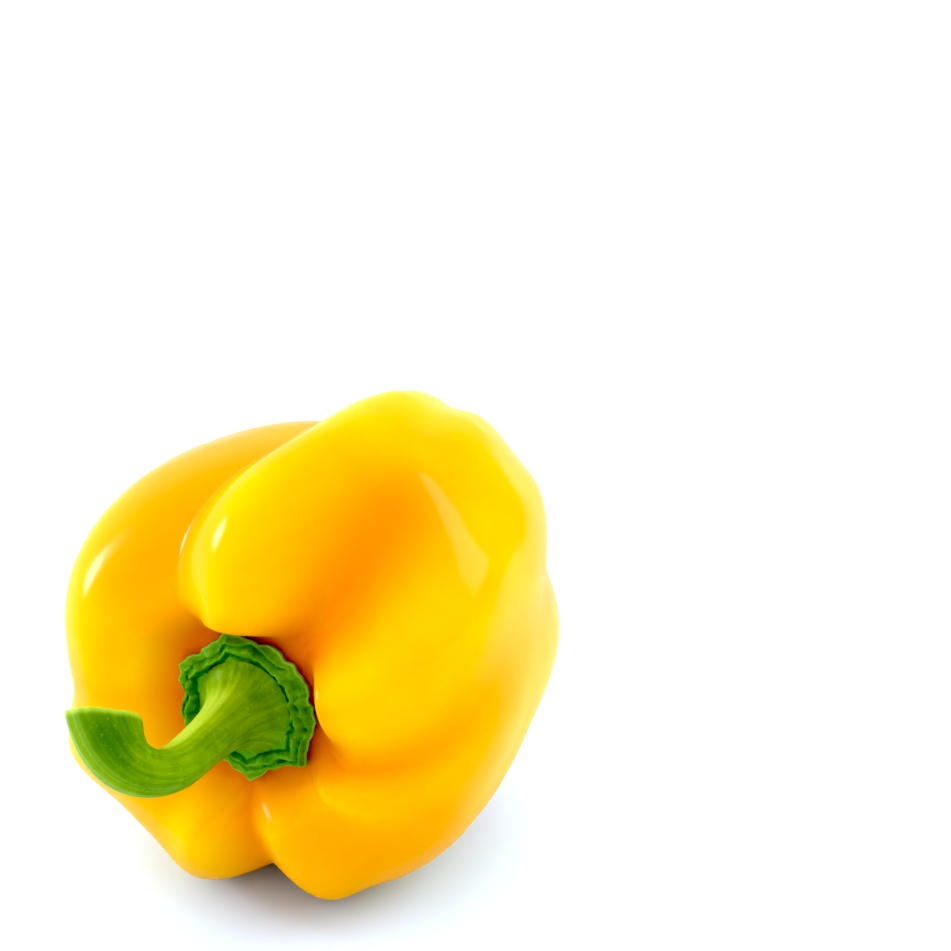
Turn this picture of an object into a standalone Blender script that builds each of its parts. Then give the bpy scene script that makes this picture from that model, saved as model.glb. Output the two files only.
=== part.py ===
"""Bell pepper lying on its side: a lobed pod, the leaf cup in its stem hollow, and a hooked stem.

World axes: the stem end looks towards -Y, the blossom end towards +Y, +Z is up and the pepper rests
on the plane Z = 0. Each piece is first worked out in the pepper's own axes, in millimetres: x to the
right, y up and w along the core towards the stem.
"""

import math
from typing import NamedTuple

import bmesh
import bpy
import numpy as np

MM = 0.001

# --- placing -----------------------------------------------------------------------------------
STEM_LIFT = math.radians(3.0)  # how far the stem end is raised above level
POD_ORIGIN = (0.6, 14.0, 45.0)  # where the pod's own origin stands; its underside is pressed 1.0 flat

# --- pod ---------------------------------------------------------------------------------------
WIDEST_AT = 12.0       # height w of the widest section
SHOULDER_SQUARE = 2.5  # superellipse power of the shoulders, 2 is round
TAIL_SQUARE = 2.7      # superellipse power of the blossom half
HOLLOW_FLOOR = 34.0    # height w of the floor under the leaf cup
DIMPLE_FLOOR = -40.0   # height w of the middle of the blossom-end dimple
DIMPLE_RADIUS = 13.0
SIDE_SHIFT = (0.0, 2.0)  # how far the sides stand off the line of the core, along x and y
POD_MIDDLE = (18.0, 44.0)  # radii over which that shift sets in
POD_ROWS = 44
POD_COLUMNS_PER_LOBE = 7


class Crest(NamedTuple):
    """Meridian along the top of one lobe."""

    reach: float    # distance from the core at the widest section
    rise: float     # height w of the shoulder
    tail: float     # depth of the blossom end below w = 0
    hollow: tuple   # radii at which the stem hollow's wall starts and ends
    taper: float    # share of the reach lost towards the tail
    lean: float = 0.5  # where the crest lies between the lobe's two furrows


class Furrow(NamedTuple):
    """Meridian along the bottom of the furrow between two lobes."""

    angle: tuple    # degrees round the core at the shoulder, the side and the tail
    reach: float
    rise: float
    tail: float
    hollow: tuple
    taper: float
    rounding: tuple  # share of a half lobe that is rounded off at the shoulder, the side and the tail


# Anticlockwise as seen from the stem end, each lobe after its own furrow.
LOBES = [
    (Furrow((-17, 10, 26), 43.4, 41, 45, (13.6, 24), 0.09, (0.20, 1.6, 1.5)),
     Crest(47.6, 47, 51, (13.8, 20), 0.10)),
    (Furrow((53, 60, 68), 47.8, 34, 50, (13.6, 31), 0.06, (0.4, 0.8, 0.7)),
     Crest(49.0, 49, 50, (13.8, 20), 0.12)),
    (Furrow((126, 96, 86), 41.0, 41, 46, (13.6, 24), 0.18, (0.16, 0.45, 0.5)),
     Crest(45.5, 47, 49, (13.4, 38), 0.15, 0.7)),
    (Furrow((189, 193, 196), 45.0, 45.6, 43, (13.2, 34), 0.10, (1.6, 0.9, 0.5)),
     Crest(51.0, 48, 48, (13.2, 34), 0.08)),
    (Furrow((236, 231, 228), 48.5, 46, 46, (13.2, 31), 0.05, (0.7, 0.5, 0.6)),
     Crest(50.5, 48, 49, (13.6, 29), 0.0)),
    (Furrow((274, 271, 268), 43.0, 40, 44, (13.6, 25), 0.0, (0.10, 0.12, 0.4)),
     Crest(49.3, 45, 50, (13.6, 26), 0.0)),
    (Furrow((313, 300, 295), 47.5, 42, 48, (13.6, 25), 0.0, (0.8, 1.2, 0.9)),
     Crest(43.8, 46.5, 49, (13.6, 23), 0.05, 0.62)),
]

# --- leaf cup ----------------------------------------------------------------------------------
CUP_UNDERSIDE = 34.7   # height w of its flat underside
CUP_RADIUS = 12.9      # at the bays between the tips
CUP_TIP_WIDTH = math.radians(22.0)
CUP_TIP_ANGLES = (36, 70, 107, 161, 206, 236, 273, 322, 354)  # degrees round the core
CUP_TIP_LENGTHS = (0.6, 0.4, 1.3, 2.1, 1.6, 1.4, 2.4, 2.2, 0.9)
CUP_COLUMNS = 60

# --- stem --------------------------------------------------------------------------------------
STEM_ROOT = 37.6       # height w of the underside of the stem's flared root
STEM_LENGTH = 45.2     # along the centre line
STEM_BEND = (20.0, 45.0)  # where along it the hook starts and ends
STEM_HOOK_TURN = math.radians(104.0)  # from the core, after the hook
STEM_HOOK_HEADINGS = (math.radians(188.0), math.radians(112.0))  # round the core, at its start and end
STEM_RADIUS = 4.0
STEM_ROOT_RADIUS = 9.3
STEM_ROOT_HEIGHT = 4.2  # length over which the root's flare dies away
STEM_END_RADIUS = 6.2
STEM_END_FLARE = 0.62   # share of the length at which the end starts to widen
STEM_CUT_SLANT = math.tan(math.radians(20.0))  # the inner side of the hook is cut shorter
STEM_CUT_START = 0.75   # share of the length from which the rings tilt towards the cut
STEM_FLUTES = 5
STEM_FLUTE_DEPTH = 0.05
STEM_ROWS = 26
STEM_COLUMNS = 20


def ease(start, end, value):
    """Rise smoothly from 0 at start to 1 at end."""
    t = np.clip((value - start) / (end - start), 0.0, 1.0)
    return t * t * (3.0 - 2.0 * t)


def along(stations, way):
    """Blend a shoulder, a side and a tail value; way runs from 0 at the stem to 1 at the blossom."""
    shoulder, side, tail = stations
    upper = shoulder + (side - shoulder) * ease(0.12, 0.5, way)
    lower = side + (tail - side) * ease(0.5, 0.9, way)
    return np.where(way < 0.5, upper, lower)


def meridian(turn, reach, rise, tail, hollow, taper):
    """Radius and height of a meridian: a superellipse arch that sinks into the hollow and the dimple."""
    upper = turn < math.pi / 2
    power = 2.0 / np.where(upper, SHOULDER_SQUARE, TAIL_SQUARE)
    half = np.where(upper, rise - WIDEST_AT, tail + WIDEST_AT)
    radius = reach * np.clip(np.sin(turn), 0.0, 1.0) ** power
    height = WIDEST_AT + half * np.sign(np.cos(turn)) * np.abs(np.cos(turn)) ** power
    radius = radius * (1.0 - taper * ease(-0.3, 1.0, -height / tail))
    wall = 1.0 - ease(hollow[0], hollow[1], radius)
    dimple = np.exp(-((radius / DIMPLE_RADIUS) ** 2))
    sunk = np.where(upper, HOLLOW_FLOOR, DIMPLE_FLOOR)
    return radius, height + (sunk - height) * np.where(upper, wall, dimple)


def swell(across, rounding):
    """Cross-section of a lobe: 0 in its furrows at across = -1 and 1, and 1 on its crest."""
    inwards = 1.0 - np.abs(across)
    eased = np.hypot(inwards, rounding) - rounding
    return np.sin(math.pi / 2 * eased / (np.hypot(1.0, rounding) - rounding))


def even_turns(rows):
    """Turning angles from pole to pole that lie evenly along a middling meridian."""
    turn = np.linspace(0.0, math.pi, 4000)
    radius, height = meridian(turn, 48.0, 45.0, 48.0, (13.6, 22.0), 0.1)
    length = np.concatenate([[0.0], np.cumsum(np.hypot(np.diff(radius), np.diff(height)))])
    return np.interp(np.linspace(0.0, length[-1], rows), length, turn)


def pod_surface(rows, columns_per_lobe):
    """Grid of points [row, column, xyw] over the pod; its first and last rows are the two poles."""
    turn = even_turns(rows)[:, None]
    way = turn / math.pi
    across = np.sin(math.pi / 2 * np.linspace(-1.0, 1.0, columns_per_lobe + 1)[:-1])[None, :]
    share = (across + 1.0) / 2.0
    soft_share = ease(0.0, 1.0, share)
    patches = []
    for number, (left, crest) in enumerate(LOBES):
        right = LOBES[(number + 1) % len(LOBES)][0]
        lap = 360.0 if right.angle[1] < left.angle[1] else 0.0
        start = along(left.angle, way)
        angle = np.radians(start + (along(right.angle, way) + lap - start) * share)

        def between(field):
            """Blend one measure of the two furrows across the lobe."""
            a, b = np.asarray(getattr(left, field)), np.asarray(getattr(right, field))
            return a[..., None, None] + (b - a)[..., None, None] * soft_share

        low_radius, low_height = meridian(turn, between("reach"), between("rise"), between("tail"),
                                          between("hollow"), between("taper"))
        top_radius, top_height = meridian(turn, *crest[:5])
        rounding = along(left.rounding, way) * (1.0 - share) + along(right.rounding, way) * share
        lobe = swell(2.0 * share ** (math.log(0.5) / math.log(crest.lean)) - 1.0, rounding)
        radius = low_radius + (top_radius - low_radius) * lobe
        height = low_height + (top_height - low_height) * lobe
        aside = ease(*POD_MIDDLE, radius)
        patches.append(np.stack([radius * np.cos(angle) + SIDE_SHIFT[0] * aside,
                                 radius * np.sin(angle) + SIDE_SHIFT[1] * aside, height], axis=-1))
    return np.concatenate(patches, axis=1)


def cup_outline(angle):
    """Radius of the leaf cup's edge: pointed tips with shallow bays between them."""
    tips = np.radians(np.array(CUP_TIP_ANGLES))[:, None]
    lengths = np.array(CUP_TIP_LENGTHS)[:, None]
    apart = np.abs((angle - tips + math.pi) % (2.0 * math.pi) - math.pi)
    reached = lengths * np.clip(1.0 - apart / CUP_TIP_WIDTH, 0.0, None) ** 1.3
    return CUP_RADIUS + reached.max(axis=0)


def cup_surface():
    """Leaf cup: flat underside, rounded edge, raised collar and a shallow seat for the stem's root."""
    angle = np.linspace(0.0, 2.0 * math.pi, CUP_COLUMNS, endpoint=False)[None, :]
    share = np.array([0.0, 0.35, 0.7, 0.9, 1.0, 1.0, 0.95, 0.86, 0.78, 0.7, 0.35, 0.0])[:, None]
    above = np.array([0.0, 0.0, 0.0, 0.1, 0.7, 1.3, 2.3, 2.9, 2.6, 2.2, 2.2, 2.2])[:, None]
    radius = cup_outline(angle) * share
    height = CUP_UNDERSIDE + above + 0.0 * angle
    grid = np.stack([radius * np.cos(angle), radius * np.sin(angle), height], axis=-1)
    return grid[::-1]


def stem_line(rows):
    """Centre line of the stem and its tangent: it leaves along the core and turns into the hook."""
    way = np.linspace(0.0, 1.0, rows)
    fine = np.linspace(0.0, STEM_LENGTH, 2000)
    hooked = ease(*STEM_BEND, fine)
    turned = STEM_HOOK_TURN * hooked
    heading = STEM_HOOK_HEADINGS[0] + (STEM_HOOK_HEADINGS[1] - STEM_HOOK_HEADINGS[0]) * hooked
    tangent = np.stack([np.sin(turned) * np.cos(heading), np.sin(turned) * np.sin(heading),
                        np.cos(turned)], axis=-1)
    core = np.array([0.0, 0.0, 1.0])
    centre = np.cumsum(tangent, axis=0) * (fine[1] - fine[0]) + STEM_ROOT * core
    picked = np.round(way * (len(fine) - 1)).astype(int)
    return way, centre[picked], tangent[picked]


def stem_surface():
    """Stem: a fluted tube along its centre line, flared at the root and at its slanted cut end."""
    way, centre, tangent = stem_line(STEM_ROWS)
    angle = np.linspace(0.0, 2.0 * math.pi, STEM_COLUMNS, endpoint=False)
    radius = STEM_RADIUS + (STEM_ROOT_RADIUS - STEM_RADIUS) * np.exp(-way * STEM_LENGTH / STEM_ROOT_HEIGHT)
    radius = radius + (STEM_END_RADIUS - STEM_RADIUS) * ease(STEM_END_FLARE, 1.0, way)
    reach = radius[:, None] * (1.0 + STEM_FLUTE_DEPTH * np.cos(STEM_FLUTES * angle))
    middle = sum(STEM_HOOK_HEADINGS) / 2.0
    inner = np.cross([-math.sin(middle), math.cos(middle), 0.0], tangent)
    inner /= np.linalg.norm(inner, axis=1)[:, None]
    side = np.cross(tangent, inner)
    ring = np.cos(angle)[None, :, None] * inner[:, None, :] + np.sin(angle)[None, :, None] * side[:, None, :]
    slant = STEM_CUT_SLANT * reach * np.cos(angle) * ease(STEM_CUT_START, 1.0, way)[:, None]
    tube = centre[:, None, :] + reach[..., None] * ring - slant[..., None] * tangent[:, None, :]
    caps = np.repeat(centre[[0, -1]][:, None, :], STEM_COLUMNS, axis=1)
    return np.concatenate([caps[:1], tube, caps[1:]])


def to_world(points):
    """Turn points in the pepper's own axes, in millimetres, into world points in metres."""
    right = np.array([1.0, 0.0, 0.0])
    up = np.array([0.0, math.sin(STEM_LIFT), math.cos(STEM_LIFT)])
    core = np.array([0.0, -math.cos(STEM_LIFT), math.sin(STEM_LIFT)])
    turned = points[..., 0:1] * right + points[..., 1:2] * up + points[..., 2:3] * core
    return MM * (turned + np.array(POD_ORIGIN))


def press_flat(shape):
    """Cut away what lies below Z = 0 and close the cuts, which leaves the flat resting spots."""
    everything = shape.verts[:] + shape.edges[:] + shape.faces[:]
    bmesh.ops.bisect_plane(shape, geom=everything, dist=1e-7, plane_co=(0, 0, 0), plane_no=(0, 0, 1),
                           clear_inner=True)
    bmesh.ops.holes_fill(shape, edges=[edge for edge in shape.edges if edge.is_boundary], sides=0)


def wrap(name, points, material):
    """Make one closed mesh object from a grid of rings whose first and last rings are single points."""
    rows = to_world(points)
    mesh = bpy.data.meshes.new(name)
    shape = bmesh.new()
    rings = [[shape.verts.new(point) for point in ring] for ring in rows[1:-1]]
    poles = [shape.verts.new(rows[0].mean(axis=0)), shape.verts.new(rows[-1].mean(axis=0))]
    count = len(rings[0])
    for upper, lower in zip(rings, rings[1:]):
        for k in range(count):
            shape.faces.new((upper[k - 1], lower[k - 1], lower[k], upper[k]))
    for k in range(count):
        shape.faces.new((poles[0], rings[0][k - 1], rings[0][k]))
        shape.faces.new((poles[1], rings[-1][k], rings[-1][k - 1]))
    press_flat(shape)
    bmesh.ops.recalc_face_normals(shape, faces=shape.faces)
    shape.to_mesh(mesh)
    shape.free()
    mesh.shade_smooth()
    mesh.materials.append(material)
    piece = bpy.data.objects.new(name, mesh)
    bpy.context.scene.collection.objects.link(piece)
    return piece


def finish(name, colour, roughness):
    """Make one plain material."""
    material = bpy.data.materials.new(name)
    material.use_nodes = True
    surface = material.node_tree.nodes["Principled BSDF"]
    surface.inputs["Base Color"].default_value = (*colour, 1.0)
    surface.inputs["Roughness"].default_value = roughness
    surface.inputs["Metallic"].default_value = 0.0
    return material


def main():
    """Clear the scene and build the three pieces."""
    for old in list(bpy.data.objects):
        bpy.data.objects.remove(old, do_unlink=True)
    pod = pod_surface(POD_ROWS, POD_COLUMNS_PER_LOBE)
    wrap("fruit_body", pod, finish("pod_skin", (0.90, 0.48, 0.0), 0.3))
    wrap("calyx", cup_surface(), finish("calyx_green", (0.06, 0.20, 0.01), 0.55))
    wrap("stem", stem_surface(), finish("stem_green", (0.14, 0.30, 0.02), 0.5))


main()
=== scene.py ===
"""Looks of a yellow bell pepper lying on its side on a pale floor.

World axes: the stem end looks towards -Y, the blossom end towards +Y and +Z is up. Each piece is worked
out in the pepper's own axes, in millimetres: x to the right, y up and w along the core to the stem.
"""

import logging
import math
from dataclasses import dataclass
from enum import Enum
from typing import NamedTuple

import bpy
import numpy as np
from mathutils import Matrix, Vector


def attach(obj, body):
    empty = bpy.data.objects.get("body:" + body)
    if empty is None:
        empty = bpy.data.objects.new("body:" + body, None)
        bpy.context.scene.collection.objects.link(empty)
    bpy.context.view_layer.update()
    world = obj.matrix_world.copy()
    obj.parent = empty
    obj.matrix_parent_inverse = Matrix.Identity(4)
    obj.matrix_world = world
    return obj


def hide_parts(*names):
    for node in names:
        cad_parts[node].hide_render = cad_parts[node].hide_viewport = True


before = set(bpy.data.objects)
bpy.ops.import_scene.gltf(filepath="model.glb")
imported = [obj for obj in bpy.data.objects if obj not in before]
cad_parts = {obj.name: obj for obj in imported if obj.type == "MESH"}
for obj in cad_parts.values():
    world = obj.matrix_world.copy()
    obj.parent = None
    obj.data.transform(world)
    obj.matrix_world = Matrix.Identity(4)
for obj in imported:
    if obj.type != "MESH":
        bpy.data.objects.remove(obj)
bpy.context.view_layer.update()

log = logging.getLogger("bell_pepper")

MM = 0.001
FULL_TURN = 2.0 * math.pi


# ---------------------------------------------------------------------------------------------
# Small helpers
# ---------------------------------------------------------------------------------------------


def ease(start: float, end: float, value: np.ndarray) -> np.ndarray:
    """Rise smoothly from 0 at start to 1 at end: 3t^2 - 2t^3 of the clipped share t.

    Args:
        start: value at which the rise begins.
        end: value at which the rise is over.
        value: where to read it.

    Returns:
        The risen share, 0 to 1.
    """
    t = np.clip((value - start) / (end - start), 0.0, 1.0)
    return t * t * (3.0 - 2.0 * t)


def bump(centre: float, width: float, value: np.ndarray) -> np.ndarray:
    """Bell curve exp(-((value - centre) / width)^2), 1 at its centre."""
    return np.exp(-(((value - centre) / width) ** 2))


def linear(code: str) -> tuple[float, float, float, float]:
    """Turn an sRGB hex colour into linear light with full opacity.

    Args:
        code: six hex digits, as in "ffcc00".

    Returns:
        Linear red, green, blue and alpha.
    """
    parts = [int(code[k:k + 2], 16) / 255.0 for k in (0, 2, 4)]
    light = [p / 12.92 if p <= 0.04045 else ((p + 0.055) / 1.055) ** 2.4 for p in parts]
    return (light[0], light[1], light[2], 1.0)


def add_node(tree: bpy.types.NodeTree, kind: str, settings: dict | None = None,
             values: dict | None = None, links: dict | None = None) -> bpy.types.Node:
    """Add one shader node.

    Args:
        tree: node tree that takes it.
        kind: node type, as in "ShaderNodeMix".
        settings: attributes of the node.
        values: constants for its inputs, by name or number.
        links: output sockets to join to its inputs, by name or number.

    Returns:
        The new node.
    """
    node = tree.nodes.new(kind)
    for name, value in (settings or {}).items():
        setattr(node, name, value)
    for name, value in (values or {}).items():
        node.inputs[name].default_value = value
    for name, socket in (links or {}).items():
        tree.links.new(socket, node.inputs[name])
    return node


def mix_colours(tree: bpy.types.NodeTree, factor: bpy.types.NodeSocket | float,
                first: bpy.types.NodeSocket | str, second: bpy.types.NodeSocket | str,
                how: str = "MIX") -> bpy.types.NodeSocket:
    """Mix two colours, each given as a socket or as an sRGB hex colour.

    Args:
        tree: node tree that takes the node.
        factor: socket or constant share of the second colour.
        first: colour at factor 0.
        second: colour at factor 1.
        how: the blend type.

    Returns:
        The mixed colour socket.
    """
    node = add_node(tree, "ShaderNodeMix", {"data_type": "RGBA", "blend_type": how})
    for name, given in (("Factor", factor), ("A", first), ("B", second)):
        sockets = [s for s in node.inputs if s.name == name and s.enabled]
        if isinstance(given, str):
            sockets[0].default_value = linear(given)
        elif isinstance(given, (int, float)):
            sockets[0].default_value = given
        else:
            tree.links.new(given, sockets[0])
    return next(s for s in node.outputs if s.enabled)


def solid_of_rings(name: str, rings: np.ndarray, material: bpy.types.Material,
                   marks: dict[str, np.ndarray] | None = None) -> bpy.types.Object:
    """Make one closed mesh object of rings of points, in the pepper's own axes and millimetres.

    The first and the last ring are drawn together into one pole each; neighbouring rings are joined
    by quads, and each pole by a fan of triangles.

    Args:
        name: name of the object.
        rings: points [ring, column, xyw].
        material: its finish.
        marks: per-point attributes [ring, column] or [ring, column, 3] for the finish to read.

    Returns:
        The object, at the origin, with its place in its mesh.
    """
    count, columns = rings.shape[:2]
    points = to_world(rings)
    body = points[1:-1].reshape(-1, 3)
    vertices = np.concatenate([points[0].mean(0)[None], body, points[-1].mean(0)[None]])
    index = 1 + np.arange((count - 2) * columns).reshape(count - 2, columns)
    turned = np.roll(index, -1, axis=1)
    quads = np.stack([index[:-1], index[1:], turned[1:], turned[:-1]], axis=-1).reshape(-1, 4)
    last = len(vertices) - 1
    first_fan = np.stack([np.zeros(columns, int), index[0], turned[0]], axis=-1)
    last_fan = np.stack([np.full(columns, last), turned[-1], index[-1]], axis=-1)
    mesh = bpy.data.meshes.new(name)
    mesh.from_pydata(vertices.tolist(), [], quads.tolist() + first_fan.tolist() + last_fan.tolist())
    for mark, values in (marks or {}).items():
        flat = values.reshape(count, columns, -1)
        data = np.concatenate([flat[0].mean(0)[None], flat[1:-1].reshape(-1, flat.shape[2]),
                               flat[-1].mean(0)[None]])
        kind, slot = ("FLOAT_VECTOR", "vector") if flat.shape[2] == 3 else ("FLOAT", "value")
        mesh.attributes.new(mark, kind, "POINT").data.foreach_set(slot, data.astype(np.float32).ravel())
    mesh.shade_smooth()
    mesh.materials.append(material)
    mesh.update()
    piece = bpy.data.objects.new(name, mesh)
    bpy.context.scene.collection.objects.link(piece)
    return piece


def over_columns(values: np.ndarray, columns: int) -> np.ndarray:
    """Repeat one value for each ring [ring, 1] over all of the ring's columns."""
    return np.repeat(values, columns, axis=1)


# ---------------------------------------------------------------------------------------------
# Placing
# ---------------------------------------------------------------------------------------------

STEM_LIFT = math.radians(3.0)  # how far the stem end is raised above level
POD_ORIGIN = (0.6, 14.0, 45.0)  # where the pod's own origin stands


def to_world(points: np.ndarray) -> np.ndarray:
    """Turn points in the pepper's axes into world points; what would lie below the floor is pressed flat.

    Args:
        points: points [..., xyw], in millimetres.

    Returns:
        World points [..., XYZ] in metres, none below Z = 0.
    """
    right = np.array([1.0, 0.0, 0.0])
    up = np.array([0.0, math.sin(STEM_LIFT), math.cos(STEM_LIFT)])
    core = np.array([0.0, -math.cos(STEM_LIFT), math.sin(STEM_LIFT)])
    turned = points[..., 0:1] * right + points[..., 1:2] * up + points[..., 2:3] * core
    world = MM * (turned + np.array(POD_ORIGIN))
    world[..., 2] = np.maximum(world[..., 2], 0.0)
    return world


def ripple(points: np.ndarray, length: float, seed: int) -> np.ndarray:
    """Smooth unevenness, mostly within 1: a scaled sum of sine waves that run in seeded directions.

    Args:
        points: where to read it [..., xyw], in millimetres.
        length: middling wavelength in millimetres.
        seed: picks the directions, wavelengths and phases.

    Returns:
        The unevenness at each point.
    """
    draw = np.random.default_rng(seed)
    waves = 8
    heading = draw.normal(size=(waves, 3))
    heading /= np.linalg.norm(heading, axis=1)[:, None]
    rate = FULL_TURN / (length * draw.uniform(0.7, 1.4, waves))
    phase = draw.uniform(0.0, FULL_TURN, waves)
    return np.sin((points @ heading.T) * rate + phase).sum(axis=-1) / math.sqrt(waves) * 0.7


# ---------------------------------------------------------------------------------------------
# Finishes
# ---------------------------------------------------------------------------------------------


class Slot(Enum):
    """Material slots of the record."""

    SKIN = "pod_skin"
    CALYX = "calyx_green"
    STEM = "stem_green"


@dataclass(frozen=True)
class RipePepperSkin:
    """Grown pepper skin: a wax cuticle over juicy, slightly see-through yellow flesh.

    The eye gets bright, soft-edged highlights, a yellow with painted shade that deepens it to orange in
    the furrows and in the stem hollow, faint cell mottling and a corky brown scar at the blossom end.
    Only the wax reflects: the flesh under it has no gloss of its own, which would turn the edges pale.
    """

    sun: str = "e8ae00"
    body: str = "e89a00"
    # painted shade: furrow turns the yellow orange down in the furrows and also tints the random mottling;
    # hollow darkens it in the stem hollow
    furrow: str = "dc7a00"
    hollow: str = "cc5e00"
    cork: str = "7a4a1c"
    mottle_mm: float = 7.0    # patches of riper and paler skin
    cell_mm: float = 0.9      # real cells are finer; drawn coarse enough to show
    drift_mm: float = 38.0    # slow drift of the ripening

    def material(self) -> bpy.types.Material:
        """Build the node material, which reads the marks furrow, hollow and scar of its piece.
        The marks furrow and hollow carry painted shade.

        Returns:
            The material.
        """
        material = bpy.data.materials.new("waxy_pepper_skin")
        material.use_nodes = True
        tree = material.node_tree
        surface = tree.nodes["Principled BSDF"]
        place = add_node(tree, "ShaderNodeTexCoord").outputs["Object"]
        furrow = add_node(tree, "ShaderNodeAttribute", {"attribute_name": "furrow"}).outputs["Fac"]
        hollow = add_node(tree, "ShaderNodeAttribute", {"attribute_name": "hollow"}).outputs["Fac"]
        scar = add_node(tree, "ShaderNodeAttribute", {"attribute_name": "scar"}).outputs["Fac"]
        drift = add_node(tree, "ShaderNodeTexNoise", values={"Scale": 1.0 / (self.drift_mm * MM),
                         "Detail": 1.0, "Roughness": 0.4}, links={"Vector": place}).outputs["Fac"]
        mottle = add_node(tree, "ShaderNodeTexNoise", values={"Scale": 1.0 / (self.mottle_mm * MM),
                          "Detail": 3.0, "Roughness": 0.55}, links={"Vector": place}).outputs["Fac"]
        cells = add_node(tree, "ShaderNodeTexVoronoi", {"feature": "SMOOTH_F1"},
                         values={"Scale": 1.0 / (self.cell_mm * MM), "Smoothness": 0.6},
                         links={"Vector": place}).outputs["Distance"]
        ripe = add_node(tree, "ShaderNodeMapRange", values={"From Min": 0.38, "From Max": 0.62},
                        links={"Value": drift}).outputs["Result"]
        colour = mix_colours(tree, ripe, self.sun, self.body)
        # painted shade: orange in the furrows, darker orange in the stem hollow
        colour = mix_colours(tree, furrow, colour, self.furrow)
        colour = mix_colours(tree, hollow, colour, self.hollow)
        speckle = add_node(tree, "ShaderNodeMapRange", values={"From Min": 0.35, "From Max": 0.7,
                           "To Min": 0.0, "To Max": 0.10}, links={"Value": mottle}).outputs["Result"]
        colour = mix_colours(tree, speckle, colour, self.furrow)
        colour = mix_colours(tree, scar, colour, self.cork)
        rough = add_node(tree, "ShaderNodeMapRange", values={"From Min": 0.3, "From Max": 0.7,
                         "To Min": 0.20, "To Max": 0.27}, links={"Value": mottle}).outputs["Result"]
        relief = add_node(tree, "ShaderNodeMath", {"operation": "MULTIPLY_ADD"},
                          values={1: 0.12}, links={0: cells, 2: mottle}).outputs["Value"]
        waves = add_node(tree, "ShaderNodeBump", values={"Strength": 0.08, "Distance": 0.3 * MM},
                         links={"Height": relief}).outputs["Normal"]
        tree.links.new(colour, surface.inputs["Base Color"])
        tree.links.new(rough, surface.inputs["Roughness"])
        tree.links.new(waves, surface.inputs["Normal"])
        constants = {
            "Metallic": 0.0, "IOR": 1.46, "Specular IOR Level": 0.0,
            "Subsurface Weight": 0.35, "Subsurface Radius": (1.0, 0.42, 0.04),
            "Subsurface Scale": 4.0 * MM,
            "Coat Weight": 0.34, "Coat Roughness": 0.18, "Coat IOR": 1.45,
        }
        for name, value in constants.items():
            surface.inputs[name].default_value = value
        return material


@dataclass(frozen=True)
class FleshyGreen:
    """Grown green plant tissue: satin, ribbed along its fibres, paler on edges, with painted light on lit
    sides and painted shade in folds.
    """

    name: str
    light: str
    middle: str
    dark: str
    pale: str
    fibre_mm: float     # spacing of the fibres round the piece
    roughness: float
    bump_strength: float
    patch_mm: float = 4.0   # darker clouds
    speck_mm: float = 0.8   # pale specks, drawn coarse enough to show

    def material(self) -> bpy.types.Material:
        """Build the node material, which reads the marks fibre, pale and shade of its piece: pale holds
        paler edges and painted light, shade holds painted shade.

        Returns:
            The material.
        """
        material = bpy.data.materials.new(self.name)
        material.use_nodes = True
        tree = material.node_tree
        surface = tree.nodes["Principled BSDF"]
        place = add_node(tree, "ShaderNodeTexCoord").outputs["Object"]
        fibre = add_node(tree, "ShaderNodeAttribute", {"attribute_name": "fibre"}).outputs["Vector"]
        pale = add_node(tree, "ShaderNodeAttribute", {"attribute_name": "pale"}).outputs["Fac"]
        shade = add_node(tree, "ShaderNodeAttribute", {"attribute_name": "shade"}).outputs["Fac"]
        strands = add_node(tree, "ShaderNodeTexNoise", values={"Scale": 1.0 / self.fibre_mm,
                           "Detail": 3.0, "Roughness": 0.6}, links={"Vector": fibre}).outputs["Fac"]
        patches = add_node(tree, "ShaderNodeTexNoise", values={"Scale": 1.0 / (self.patch_mm * MM),
                           "Detail": 4.0, "Roughness": 0.6}, links={"Vector": place}).outputs["Fac"]
        specks = add_node(tree, "ShaderNodeTexNoise", values={"Scale": 1.0 / (self.speck_mm * MM),
                          "Detail": 2.0}, links={"Vector": place}).outputs["Fac"]
        tone = add_node(tree, "ShaderNodeMapRange", values={"From Min": 0.30, "From Max": 0.70,
                        "To Min": 0.15, "To Max": 0.75}, links={"Value": strands}).outputs["Result"]
        base = mix_colours(tree, tone, self.middle, self.light)
        cloud = add_node(tree, "ShaderNodeMapRange", values={"From Min": 0.45, "From Max": 0.75,
                         "To Max": 0.5}, links={"Value": patches}).outputs["Result"]
        base = mix_colours(tree, cloud, base, self.dark)
        # painted shade: the shade mark darkens the green; the pale mark holds paler edges and painted light
        base = mix_colours(tree, shade, base, self.dark)
        base = mix_colours(tree, pale, base, self.pale)
        dots = add_node(tree, "ShaderNodeMapRange", values={"From Min": 0.62, "From Max": 0.74,
                        "To Max": 0.18}, links={"Value": specks}).outputs["Result"]
        base = mix_colours(tree, dots, base, self.pale)
        height = add_node(tree, "ShaderNodeMath", {"operation": "MULTIPLY_ADD"}, values={1: 0.35},
                          links={0: specks, 2: strands}).outputs["Value"]
        waves = add_node(tree, "ShaderNodeBump", values={"Strength": self.bump_strength,
                         "Distance": 0.25 * MM}, links={"Height": height}).outputs["Normal"]
        rough = add_node(tree, "ShaderNodeMapRange", values={"From Min": 0.3, "From Max": 0.7,
                         "To Min": self.roughness - 0.05, "To Max": self.roughness + 0.08},
                         links={"Value": patches}).outputs["Result"]
        tree.links.new(base, surface.inputs["Base Color"])
        tree.links.new(rough, surface.inputs["Roughness"])
        tree.links.new(waves, surface.inputs["Normal"])
        constants = {
            "Metallic": 0.0, "IOR": 1.42, "Specular IOR Level": 0.12,
            "Subsurface Weight": 0.15, "Subsurface Radius": (0.5, 1.0, 0.1),
            "Subsurface Scale": 1.5 * MM,
        }
        for name, value in constants.items():
            surface.inputs[name].default_value = value
        return material


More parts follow.
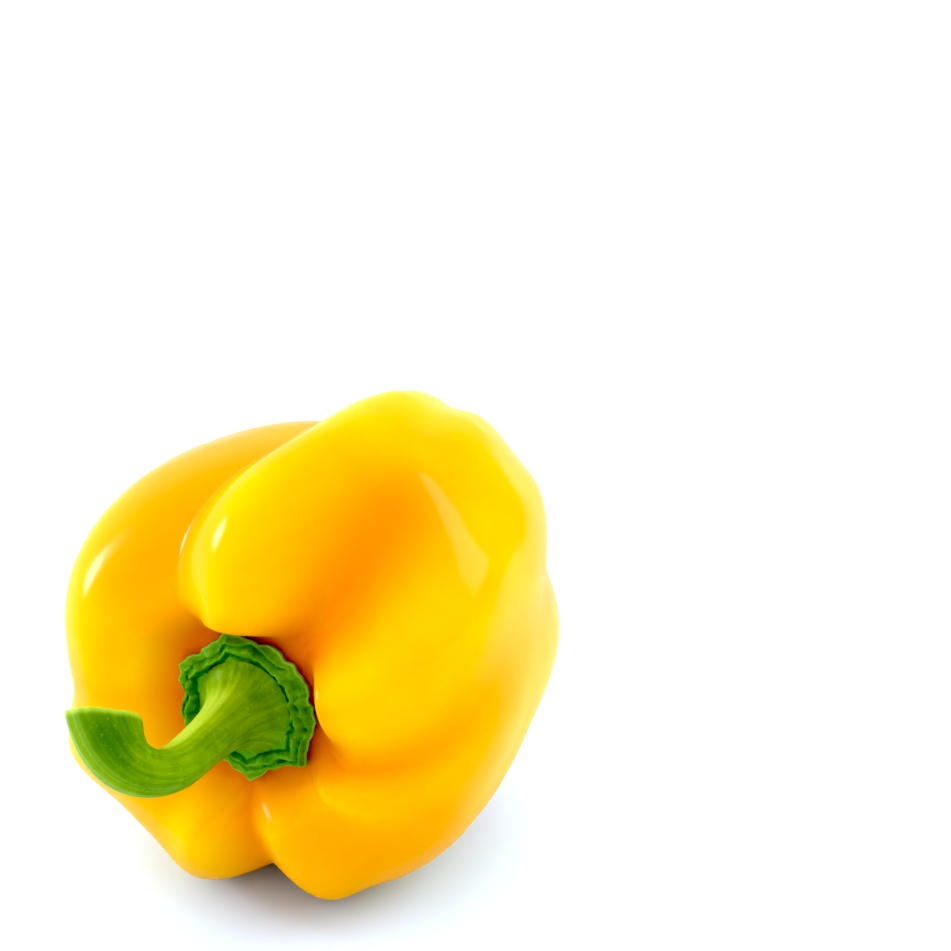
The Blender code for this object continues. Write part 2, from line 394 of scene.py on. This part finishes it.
SKIN_FINISH = RipePepperSkin()
STEM_FINISH = FleshyGreen("ribbed_green_stalk", light="7c9a1e", middle="527810", dark="2c5a0a",
                          pale="b4cc52", fibre_mm=0.55, roughness=0.42, bump_strength=0.35)
CALYX_FINISH = FleshyGreen("leathery_green_calyx", light="6c9a38", middle="4c8028", dark="285818",
                           pale="9cbe60", fibre_mm=0.9, roughness=0.40, bump_strength=0.45)


# ---------------------------------------------------------------------------------------------
# Pod
# ---------------------------------------------------------------------------------------------


class Crest(NamedTuple):
    """Meridian along the top of one lobe."""

    reach: float    # distance from the core at the widest section
    rise: float     # height w of the shoulder
    tail: float     # depth of the blossom end below w = 0
    hollow: tuple   # radii at which the stem hollow's wall starts and ends
    taper: float    # share of the reach lost towards the tail
    lean: float = 0.5  # where the crest lies between the lobe's two furrows


class Furrow(NamedTuple):
    """Meridian along the bottom of the furrow between two lobes."""

    angle: tuple    # degrees round the core at the shoulder, the side and the tail
    reach: float
    rise: float
    tail: float
    hollow: tuple
    taper: float
    rounding: tuple  # share of a half lobe that is rounded off at the shoulder, the side and the tail


# Anticlockwise as seen from the stem end, each lobe after its own furrow.
LOBES = [
    (Furrow((-17, 10, 26), 43.4, 41, 45, (13.6, 24), 0.09, (0.20, 1.6, 1.5)),
     Crest(47.6, 47, 51, (13.8, 20), 0.10)),
    (Furrow((53, 60, 68), 47.8, 34, 50, (13.6, 31), 0.06, (0.4, 0.8, 0.7)),
     Crest(49.0, 49, 50, (13.8, 20), 0.12)),
    (Furrow((126, 96, 86), 41.0, 41, 46, (13.6, 24), 0.18, (0.16, 0.45, 0.5)),
     Crest(45.5, 47, 49, (13.4, 38), 0.15, 0.7)),
    (Furrow((189, 193, 196), 45.0, 45.6, 43, (13.2, 34), 0.10, (1.6, 0.9, 0.5)),
     Crest(51.0, 48, 48, (13.2, 34), 0.08)),
    (Furrow((236, 231, 228), 48.5, 46, 46, (13.2, 31), 0.05, (0.7, 0.5, 0.6)),
     Crest(50.5, 48, 49, (13.6, 29), 0.0)),
    (Furrow((274, 271, 268), 43.0, 40, 44, (13.6, 25), 0.0, (0.10, 0.12, 0.4)),
     Crest(49.3, 45, 50, (13.6, 26), 0.0)),
    (Furrow((313, 300, 295), 47.5, 42, 48, (13.6, 25), 0.0, (0.8, 1.2, 0.9)),
     Crest(43.8, 46.5, 49, (13.6, 23), 0.05, 0.62)),
]


MIDDLING_CREST = Crest(48.0, 45.0, 48.0, (13.6, 22.0), 0.1)  # an ordinary lobe, used to space the rows


@dataclass
class Pod:
    """The lobed fruit: one closed skin with the stem hollow and the blossom-end dimple."""

    widest_at: float = 12.0       # height w of the widest section
    shoulder_square: float = 2.5  # superellipse power of the shoulders, 2 is round
    tail_square: float = 2.7      # superellipse power of the blossom half
    hollow_floor: float = 34.0
    dimple_floor: float = -40.0
    dimple_radius: float = 13.0
    scar_radius: float = 2.6
    side_shift: tuple = (0.0, 2.0)  # how far the sides stand off the line of the core
    rows: int = 280
    columns_per_lobe: int = 30
    unevenness: float = 0.22      # slow waves of the skin, in millimetres
    furrow_shade_depth: float = 7.0      # depth from which a furrow takes its full painted shade
    furrow_shade_share: float = 0.8     # how much of the painted furrow shade the deepest furrow takes
    hollow_shade_share: float = 0.9     # and how much of the painted hollow shade the hollow's floor takes
    finish: RipePepperSkin = SKIN_FINISH

    def along(self, stations: tuple, way: np.ndarray) -> np.ndarray:
        """Blend a value given at the shoulder, the side and the tail along a meridian.

        Args:
            stations: the value at the shoulder, the side and the tail.
            way: share of the way from the stem end, 0, to the blossom end, 1.

        Returns:
            The blended value.
        """
        shoulder, side, tail = stations
        upper = shoulder + (side - shoulder) * ease(0.12, 0.5, way)
        lower = side + (tail - side) * ease(0.5, 0.9, way)
        return np.where(way < 0.5, upper, lower)

    def meridian(self, turn: np.ndarray, reach: np.ndarray, rise: np.ndarray, tail: np.ndarray,
                 hollow: tuple, taper: np.ndarray) -> tuple[np.ndarray, np.ndarray]:
        """Radius and height of a meridian: a superellipse arch that sinks into hollow and dimple.

        The radius is reach times sin(turn) to the power 2/n and the height half times cos(turn) to
        the power 2/n. Inside the hollow's radii the height eases down to the hollow's floor, and
        round the blossom end it sinks to the dimple's floor as a bell curve of the radius.

        Args:
            turn: angle along the arch, 0 at the stem end and pi at the blossom end.
            reach: distance from the core at the widest section.
            rise: height w of the shoulder.
            tail: depth of the blossom end below w = 0.
            hollow: radii at which the stem hollow's wall starts and ends.
            taper: share of the reach lost towards the tail.

        Returns:
            Radius from the core and height w at each angle.
        """
        upper = turn < math.pi / 2
        power = 2.0 / np.where(upper, self.shoulder_square, self.tail_square)
        half = np.where(upper, rise - self.widest_at, tail + self.widest_at)
        radius = reach * np.clip(np.sin(turn), 0.0, 1.0) ** power
        height = self.widest_at + half * np.sign(np.cos(turn)) * np.abs(np.cos(turn)) ** power
        radius = radius * (1.0 - taper * ease(-0.3, 1.0, -height / tail))
        wall = 1.0 - ease(hollow[0], hollow[1], radius)
        dimple = np.exp(-((radius / self.dimple_radius) ** 2))
        sunk = np.where(upper, self.hollow_floor, self.dimple_floor)
        return radius, height + (sunk - height) * np.where(upper, wall, dimple)

    def swell(self, across: np.ndarray, rounding: np.ndarray) -> np.ndarray:
        """Cross-section of a lobe: sin of a quarter turn times the eased distance from the furrow.

        Args:
            across: place across the lobe, -1 and 1 in its furrows and 0 on its crest.
            rounding: share of a half lobe over which the furrow's bottom is rounded.

        Returns:
            The swell, 0 in the furrows and 1 on the crest.
        """
        inwards = 1.0 - np.abs(across)
        eased = np.hypot(inwards, rounding) - rounding
        return np.sin(math.pi / 2 * eased / (np.hypot(1.0, rounding) - rounding))

    def even_turns(self) -> np.ndarray:
        """Space the rows evenly along an ordinary lobe's meridian.

        Returns:
            Angles along the arch from pole to pole, one for each row.
        """
        turn = np.linspace(0.0, math.pi, 4000)
        radius, height = self.meridian(turn, *MIDDLING_CREST[:5])
        length = np.concatenate([[0.0], np.cumsum(np.hypot(np.diff(radius), np.diff(height)))])
        return np.interp(np.linspace(0.0, length[-1], self.rows), length, turn)

    def surface(self) -> tuple[np.ndarray, np.ndarray]:
        """Work out the skin lobe by lobe, each blended from its furrows up to its crest.

        Returns:
            Points [row, column, xyw] over the pod, and how far each lies down in a furrow, 0 to 1, which
            sets the painted furrow shade.
        """
        turn = self.even_turns()[:, None]
        way = turn / math.pi
        across = np.sin(math.pi / 2 * np.linspace(-1.0, 1.0, self.columns_per_lobe + 1)[:-1])[None, :]
        share = (across + 1.0) / 2.0
        soft_share = ease(0.0, 1.0, share)
        patches, furrow_shade_depths = [], []
        for number, (left, crest) in enumerate(LOBES):
            right = LOBES[(number + 1) % len(LOBES)][0]
            lap = 360.0 if right.angle[1] < left.angle[1] else 0.0
            start = self.along(left.angle, way)
            angle = np.radians(start + (self.along(right.angle, way) + lap - start) * share)

            def between(name: str) -> np.ndarray:
                """Blend one measure of the two furrows across the lobe.

                Args:
                    name: the measure's name in Furrow.

                Returns:
                    The measure at each column.
                """
                a, b = np.asarray(getattr(left, name)), np.asarray(getattr(right, name))
                return a[..., None, None] + (b - a)[..., None, None] * soft_share

            low_radius, low_height = self.meridian(turn, between("reach"), between("rise"),
                                                   between("tail"), between("hollow"), between("taper"))
            top_radius, top_height = self.meridian(turn, *crest[:5])
            rounding = self.along(left.rounding, way) * (1.0 - share)
            rounding = rounding + self.along(right.rounding, way) * share
            lobe = self.swell(2.0 * share ** (math.log(0.5) / math.log(crest.lean)) - 1.0, rounding)
            radius = low_radius + (top_radius - low_radius) * lobe
            height = low_height + (top_height - low_height) * lobe
            aside = ease(18.0, 44.0, radius)
            patches.append(np.stack([radius * np.cos(angle) + self.side_shift[0] * aside,
                                     radius * np.sin(angle) + self.side_shift[1] * aside,
                                     height], axis=-1))

            def drop(beside: Crest) -> np.ndarray:
                """Tell how far the furrow lies below a crest.

                Args:
                    beside: the crest, of this lobe or of a neighbouring one.

                Returns:
                    The depth as a share of furrow_shade_depth, 1 there and beyond.
                """
                high_radius, high_height = self.meridian(turn, *beside[:5])
                fall = np.hypot(np.clip(high_radius - low_radius, 0.0, None),
                                np.clip(high_height - low_height, 0.0, None))
                return np.clip(fall / self.furrow_shade_depth, 0.0, 1.0)

            following = LOBES[(number + 1) % len(LOBES)][1]
            neighbour = np.where(share < 0.5, drop(LOBES[number - 1][1]), drop(following))
            # painted shade: the mark is strongest down in the furrows and nothing on the crests
            furrow_shade_depths.append((1.0 - lobe) ** 2 * (drop(crest) + neighbour) / 2.0)
        return np.concatenate(patches, axis=1), np.concatenate(furrow_shade_depths, axis=1)

    def build(self) -> bpy.types.Object:
        """Make the pod's mesh and give it its skin.

        Returns:
            The pod.
        """
        points, furrow = self.surface()
        radius = np.hypot(points[..., 0], points[..., 1])
        fade = ease(9.0, 22.0, radius)[..., None]
        outward = points * np.array([1.0, 1.0, 0.6])
        outward /= np.linalg.norm(outward, axis=-1)[..., None] + 1e-9
        waves = ripple(points, 26.0, 3) + 0.25 * ripple(points, 9.0, 4)
        points = points + outward * fade * (self.unevenness * waves)[..., None]
        top = points[..., 2] > 0.0
        # painted shade: the stem hollow's wall is marked to take the darker orange
        hollow = np.where(top, 1.0 - ease(13.5, 24.0, radius), 0.0)
        scar = np.where(top, 0.0, 1.0 - ease(0.6 * self.scar_radius, self.scar_radius, radius))
        marks = {"furrow": self.furrow_shade_share * furrow, "hollow": self.hollow_shade_share * hollow, "scar": scar}
        return solid_of_rings("pepper_pod", points, self.finish.material(), marks)


# ---------------------------------------------------------------------------------------------
# Leaf cup
# ---------------------------------------------------------------------------------------------


class Fold(NamedTuple):
    """A ring-shaped ridge round the core, or a groove where its height is below 0."""

    place: float   # share of the way from the core to the edge
    width: float   # in the same share
    height: float  # in millimetres


@dataclass
class LeafCup:
    """The calyx: a leathery cup with pointed tips, two folded ridges and a groove round the stem."""

    underside: float = 34.7      # its height w
    radius: float = 12.9         # of the bays between its tips
    thickness: float = 0.9       # of the brim
    seat: float = 2.5            # height of the stem's seat above the underside
    groove: Fold = Fold(0.725, 0.03, -0.75)
    ridge: Fold = Fold(0.80, 0.055, 1.35)
    gap: Fold = Fold(0.865, 0.03, -0.55)
    outer_ridge: Fold = Fold(0.915, 0.035, 0.75)
    brim_drop: float = 1.1       # how far the brim lies below the seat
    pleat_height: float = 0.33
    tip_angles: tuple = (36, 70, 107, 161, 206, 236, 273, 322, 354)  # degrees round the core
    tip_lengths: tuple = (0.6, 0.4, 1.3, 2.1, 1.6, 1.4, 2.4, 2.2, 0.9)
    tip_width: float = math.radians(22.0)
    columns: int = 420
    rows: int = 90
    finish: FleshyGreen = CALYX_FINISH

    def outline(self, angle: np.ndarray) -> np.ndarray:
        """Radius of the edge: bays at the cup's radius and a pointed tip at each tip angle.

        Args:
            angle: angles round the core, in radians.

        Returns:
            The radius at each angle.
        """
        tips = np.radians(np.array(self.tip_angles, float))[:, None]
        lengths = np.array(self.tip_lengths)[:, None]
        apart = np.abs((angle - tips + math.pi) % FULL_TURN - math.pi)
        reached = lengths * np.clip(1.0 - apart / self.tip_width, 0.0, None) ** 1.3
        wobble = 0.18 * np.sin(17 * angle + 0.6) + 0.12 * np.sin(29 * angle + 2.0)
        return self.radius + reached.max(axis=0) + wobble

    def height(self, share: np.ndarray, angle: np.ndarray) -> np.ndarray:
        """Height of the upper side above the underside.

        A seat for the stem, a groove round it, two uneven ridges outside the groove and a thin brim,
        with radial pleats whose depth and heading change round the cup.

        Args:
            share: share of the way from the core, 0, to the edge, 1.
            angle: angle round the core, in radians.

        Returns:
            The height in millimetres.
        """
        wander = 0.035 * np.sin(3 * angle + 0.8) + 0.025 * np.sin(7 * angle)
        wander = wander + 0.015 * np.sin(12 * angle)
        place = share + wander * ease(0.66, 0.78, share)
        upright = 0.75 + 0.35 * np.sin(2 * angle + 0.9) + 0.2 * np.sin(5 * angle + 2.2)
        second = 0.6 + 0.5 * np.sin(3 * angle + 3.6) + 0.25 * np.sin(8 * angle)
        groove, ridge, gap, outer = self.groove, self.ridge, self.gap, self.outer_ridge
        plain = self.seat + groove.height * bump(groove.place, groove.width, share)
        plain = plain + ridge.height * upright * bump(ridge.place, ridge.width, place)
        plain = plain + outer.height * second * bump(outer.place, outer.width, place)
        plain = plain + gap.height * bump(gap.place, gap.width, place)
        plain = plain - self.brim_drop * ease(0.86, 1.0, share)
        twist = angle + 0.5 * share * np.sin(2 * angle)
        pleats = np.sin(11 * twist + 1.0) + 0.7 * np.sin(19 * twist + 5.0 * share)
        pleats = pleats + 0.45 * np.sin(31 * twist - 7.0 * share + 2.0)
        strength = self.pleat_height * ease(0.68, 0.80, share) * (1.0 - 0.35 * ease(0.93, 1.0, share))
        return plain + strength * pleats

    def build(self) -> bpy.types.Object:
        """Make the cup's mesh and give it its green.

        Returns:
            The leaf cup.
        """
        angle = np.linspace(0.0, FULL_TURN, self.columns, endpoint=False)[None, :]
        upper = np.concatenate([np.linspace(0.0, 0.6, 10)[:-1], np.linspace(0.6, 1.0, self.rows)])
        share = over_columns(upper[:, None], self.columns)
        top = self.underside + self.height(share, angle)
        edge = self.outline(angle)
        over = np.stack([edge * share * np.cos(angle), edge * share * np.sin(angle), top], axis=-1)
        down = np.array([1.0, 0.97, 0.8, 0.4, 0.0])[:, None]
        brim = top[-1:] - self.thickness
        lower = self.underside + (brim - self.underside) * ease(0.7, 1.0, down)
        under = np.stack([edge * down * np.cos(angle), edge * down * np.sin(angle), lower], axis=-1)
        rings = np.concatenate([over, under])
        every = np.concatenate([share, over_columns(down, self.columns)])
        rise = np.concatenate([top, lower]) - self.underside
        # painted shade: the groove and the low folds of the cup are marked darker
        valley_shade = np.clip((2.4 - rise) / 1.2, 0.0, 1.0) * ease(0.66, 0.72, every) * (every < 0.93)
        rim = ease(0.965, 0.995, every)
        round_cup = np.repeat(angle, len(every), axis=0)
        fibre = np.stack([11.0 * np.cos(round_cup), 11.0 * np.sin(round_cup), 2.0 * every], axis=-1)
        marks = {"fibre": fibre, "pale": 0.35 * rim, "shade": 0.85 * valley_shade}
        return solid_of_rings("leaf_cup", rings, self.finish.material(), marks)


# ---------------------------------------------------------------------------------------------
# Stem
# ---------------------------------------------------------------------------------------------


@dataclass
class Stem:
    """The stalk: ribbed, hooked, flared at its root and cut off aslant at its thick end."""

    root: float = 37.0            # height w of its underside
    length: float = 45.2          # along its centre line
    bend: tuple = (20.0, 45.0)    # where along it the hook starts and ends
    hook_turn: float = math.radians(104.0)  # from the core, after the hook
    hook_headings: tuple = (math.radians(188.0), math.radians(112.0))  # where the hook starts and ends
    radius: float = 4.0
    root_radius: float = 9.3
    root_height: float = 4.2
    end_radius: float = 6.2
    end_flare: float = 0.62       # share of the length at which the end starts to widen
    end_stretch: float = 0.10     # share by which the cut end is stretched in the hook's plane
    stretch_start: float = 0.70   # share of the length at which that starts
    cut_start: float = 0.75       # share of the length from which the rings tilt towards the cut
    cut_slant: float = math.tan(math.radians(20.0))  # the inner side of the bend is cut shorter
    flutes: int = 5
    flute_depth: float = 0.05
    flute_start: float = 3.0      # millimetres from the root over which the ribs rise
    fine_ribs: tuple = ((13, 0.018, 2.0), (23, 0.010, -1.5))  # count, height share and drift along it
    rows: int = 220
    columns: int = 160
    finish: FleshyGreen = STEM_FINISH

    def line(self) -> tuple[np.ndarray, np.ndarray, np.ndarray]:
        """Follow the centre line: straight along the core, then round the hook as its heading eases over.

        Returns:
            Share of the length, centre [row, xyw] and tangent [row, xyw] of each row.
        """
        way = np.linspace(0.0, 1.0, self.rows)
        fine = np.linspace(0.0, self.length, 4000)
        turned = self.hook_turn * ease(*self.bend, fine)
        start, end = self.hook_headings
        heading = start + (end - start) * ease(*self.bend, fine)
        tangent = np.stack([np.sin(turned) * np.cos(heading), np.sin(turned) * np.sin(heading),
                            np.cos(turned)], axis=-1)
        core = np.array([0.0, 0.0, 1.0])
        centre = np.cumsum(tangent, axis=0) * (fine[1] - fine[0]) + self.root * core
        picked = np.round(way * (len(fine) - 1)).astype(int)
        return way, centre[picked], tangent[picked]

    def build(self) -> bpy.types.Object:
        """Make the stem's mesh and give it its green.

        Returns:
            The stem.
        """
        way, centre, tangent = self.line()
        angle = np.linspace(0.0, FULL_TURN, self.columns, endpoint=False)[None, :]
        run = (way * self.length)[:, None]
        radius = self.radius + (self.root_radius - self.radius) * np.exp(-run / self.root_height)
        radius = radius + (self.end_radius - self.radius) * ease(self.end_flare, 1.0, way[:, None])
        stretched = ease(self.stretch_start, 1.0, way[:, None])
        oval = 1.0 + self.end_stretch * stretched * np.cos(2 * angle)
        ribs = self.flute_depth * np.cos(self.flutes * angle + 0.5 * way[:, None])
        for count, height, drift in self.fine_ribs:
            ribs = ribs + height * np.cos(count * angle + drift * way[:, None])
        ribs = ribs * ease(0.0, self.flute_start, run)
        reach = radius * oval * (1.0 + ribs)
        middle = sum(self.hook_headings) / 2.0
        side = np.array([-math.sin(middle), math.cos(middle), 0.0])
        inner = np.cross(side, tangent)
        inner /= np.linalg.norm(inner, axis=1)[:, None]
        side = np.cross(tangent, inner)[:, None, :]
        ring = np.cos(angle)[..., None] * inner[:, None, :] + np.sin(angle)[..., None] * side
        tube = centre[:, None, :] + reach[..., None] * ring
        slant = self.cut_slant * reach * np.cos(angle) * ease(self.cut_start, 1.0, way[:, None])
        tube = tube - slant[..., None] * tangent[:, None, :]
        cut_share = np.array([0.985, 0.95, 0.85, 0.6, 0.3, 0.0])[:, None, None]
        sunk = np.array([0.10, 0.05, -0.15, -0.45, -0.6, -0.65])[:, None, None]
        cut = centre[-1] + cut_share * (tube[-1:] - centre[-1]) + sunk * tangent[-1]
        foot_share = np.array([0.0, 0.6])[:, None, None]
        foot = centre[0] + foot_share * (tube[:1] - centre[0])
        rings = np.concatenate([foot, tube, cut])[::-1]
        run_all = np.concatenate([[[0.0]] * len(foot_share), run, [[self.length]] * len(cut_share)])
        across = np.concatenate([foot_share[..., 0], np.ones_like(run), cut_share[..., 0]])
        marks = {name: values[::-1] for name, values in self.marks(angle, run_all, across).items()}
        return solid_of_rings("stem_stalk", rings, self.finish.material(), marks)

    def marks(self, angle: np.ndarray, run: np.ndarray, across: np.ndarray) -> dict[str, np.ndarray]:
        """Say where the stem's green changes: a pale cut edge, two sides paler with painted light and a
        darker one with painted shade.

        Args:
            angle: angle round the stem [1, column], 0 on the inner side of the hook.
            run: distance along the stem [ring, 1], in millimetres.
            across: share of the way from the centre line to the side [ring, 1].

        Returns:
            The marks fibre, pale and shade at each point.
        """
        fibre = np.stack([5.0 * across * np.cos(angle), 5.0 * across * np.sin(angle),
                          over_columns(0.05 * run, self.columns)], axis=-1)
        cut_edge = 0.55 * ease(self.length - 1.2, self.length - 0.1, run)
        # painted light: the side facing up and to the left along the straight stretch, and the outer edge
        # near the end, are drawn paler
        inner_side_light = np.clip(np.cos(angle + 0.45), 0.0, 1.0) ** 3 * ease(1.0, 7.0, run)
        inner_side_light = 0.6 * inner_side_light * (1.0 - ease(20.0, 34.0, run))
        outer_side_light = 0.35 * np.clip(np.cos(angle - 2.3), 0.0, 1.0) ** 3 * ease(26.0, 38.0, run)
        # painted shade: a darker patch on one side near the cut
        shade = 0.7 * np.clip(np.cos(angle - 3.9), 0.0, 1.0) ** 2 * bump(self.length - 4.5, 4.0, run)
        pale = np.clip(cut_edge + inner_side_light + outer_side_light, 0.0, 1.0)
        return {"fibre": fibre, "pale": pale, "shade": shade}


# ---------------------------------------------------------------------------------------------
# Studio
# ---------------------------------------------------------------------------------------------


@dataclass(frozen=True)
class Softbox:
    """One soft square studio light, aimed at the pod."""

    name: str
    azimuth: float    # degrees, 0 in front of the stem end and 90 to its right
    elevation: float  # degrees above level
    distance: float
    size: float
    power: float

    def build(self) -> None:
        """Hang the light and point it at the pod."""
        light = bpy.data.lights.new(self.name, "AREA")
        light.size = self.size
        light.energy = self.power
        holder = bpy.data.objects.new(self.name, light)
        bpy.context.scene.collection.objects.link(holder)
        away = direction(math.radians(self.azimuth), math.radians(self.elevation))
        holder.location = MM * Vector(POD_ORIGIN) + away * self.distance
        holder.rotation_euler = (-away).to_track_quat("-Z", "Y").to_euler()


def direction(azimuth: float, elevation: float) -> Vector:
    """Unit vector from the pod towards a place at that azimuth and elevation, in radians."""
    level = math.cos(elevation)
    return Vector((math.sin(azimuth) * level, -math.cos(azimuth) * level, math.sin(elevation)))


@dataclass
class Studio:
    """Pale floor, soft lights, bright surround and the camera."""

    azimuth: float = math.radians(25.0)
    elevation: float = math.radians(28.0)
    lens: float = 100.0
    sensor: float = 36.0
    view_width: float = 0.1829   # metres across the view at its centre
    view_centre: tuple = (0.6, 14.0, 47.0)  # millimetres, just above the pod's own origin
    shift: tuple = (0.152, 0.152)
    floor_half: float = 3.0   # metres from the middle to the floor's edge
    floor_gap: float = 0.0002  # how far the floor lies under the pepper
    floor_colour: str = "d2e8ff"  # cool white, so that the pod's warm light on it reads neutral
    black_level: float = 0.05
    dim: float = 0.58         # surround's radiance on its dark side
    bright: float = 2.25      # and on its bright side
    bright_azimuth: float = math.radians(-70.0)
    bright_elevation: float = math.radians(48.0)
    lights: tuple = (
        Softbox("left_lamp", -82.0, 14.0, 0.8, 0.15, 2.4),
        Softbox("right_softbox", 125.0, 34.0, 0.8, 0.47, 3.7),
    )

    def build_floor(self) -> None:
        """Lay the pale floor just under the pepper."""
        mesh = bpy.data.meshes.new("studio_floor")
        signs = ((-1, -1), (1, -1), (1, 1), (-1, 1))
        corners = [(x * self.floor_half, y * self.floor_half, -self.floor_gap) for x, y in signs]
        mesh.from_pydata(corners, [], [(0, 1, 2, 3)])
        material = bpy.data.materials.new("matt_white_board")
        material.use_nodes = True
        surface = material.node_tree.nodes["Principled BSDF"]
        surface.inputs["Base Color"].default_value = linear(self.floor_colour)
        surface.inputs["Roughness"].default_value = 0.9
        surface.inputs["Specular IOR Level"].default_value = 0.1
        mesh.materials.append(material)
        floor = bpy.data.objects.new("studio_floor", mesh)
        bpy.context.scene.collection.objects.link(floor)

    def build_surround(self) -> None:
        """Light the surround white, brightest high on the left and dimmest low on the right."""
        world = bpy.data.worlds.new("bright_surround")
        bpy.context.scene.world = world
        world.use_nodes = True
        tree = world.node_tree
        towards = add_node(tree, "ShaderNodeTexCoord").outputs["Generated"]
        facing = add_node(tree, "ShaderNodeVectorMath", {"operation": "DOT_PRODUCT"},
                          values={1: direction(self.bright_azimuth, self.bright_elevation)},
                          links={0: towards}).outputs["Value"]
        level = add_node(tree, "ShaderNodeMapRange", {"interpolation_type": "SMOOTHSTEP"},
                         {"From Min": -0.6, "From Max": 1.0, "To Min": self.dim,
                          "To Max": self.bright}, {"Value": facing})
        background = tree.nodes["Background"]
        background.inputs["Color"].default_value = (1.0, 1.0, 1.0, 1.0)
        tree.links.new(level.outputs["Result"], background.inputs["Strength"])

    def build_camera(self) -> None:
        """Aim the camera at the view's centre from its azimuth and elevation."""
        back = direction(self.azimuth, self.elevation)
        data = bpy.data.cameras.new("studio_camera")
        data.lens = self.lens
        data.sensor_width = self.sensor
        data.shift_x, data.shift_y = self.shift
        camera = bpy.data.objects.new("studio_camera", data)
        bpy.context.scene.collection.objects.link(camera)
        camera.location = MM * Vector(self.view_centre) + back * (self.view_width * self.lens / self.sensor)
        camera.rotation_euler = (-back).to_track_quat("-Z", "Y").to_euler()
        bpy.context.scene.camera = camera

    def build(self) -> None:
        """Set up the whole studio."""
        self.build_floor()
        self.build_surround()
        for light in self.lights:
            light.build()
        self.build_camera()
        view = bpy.context.scene.view_settings
        view.view_transform = "Standard"
        view.use_curve_mapping = True
        view.curve_mapping.black_level = (self.black_level, self.black_level, self.black_level)
        view.curve_mapping.update()


# ---------------------------------------------------------------------------------------------
# Assembly
# ---------------------------------------------------------------------------------------------


def main() -> None:
    """Build the pepper's pieces and the studio."""
    logging.basicConfig(level=logging.INFO, format="%(message)s")
    pieces = (
        (Pod().build(), "fruit_body", Slot.SKIN),
        (LeafCup().build(), "calyx", Slot.CALYX),
        (Stem().build(), "stem", Slot.STEM),
    )
    for piece, node, slot in pieces:
        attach(piece, "root")
        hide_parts(node)
        log.info("%s: %d faces for %s", piece.name, len(piece.data.polygons), node)
    Studio().build()


if __name__ == "__main__":
    main()
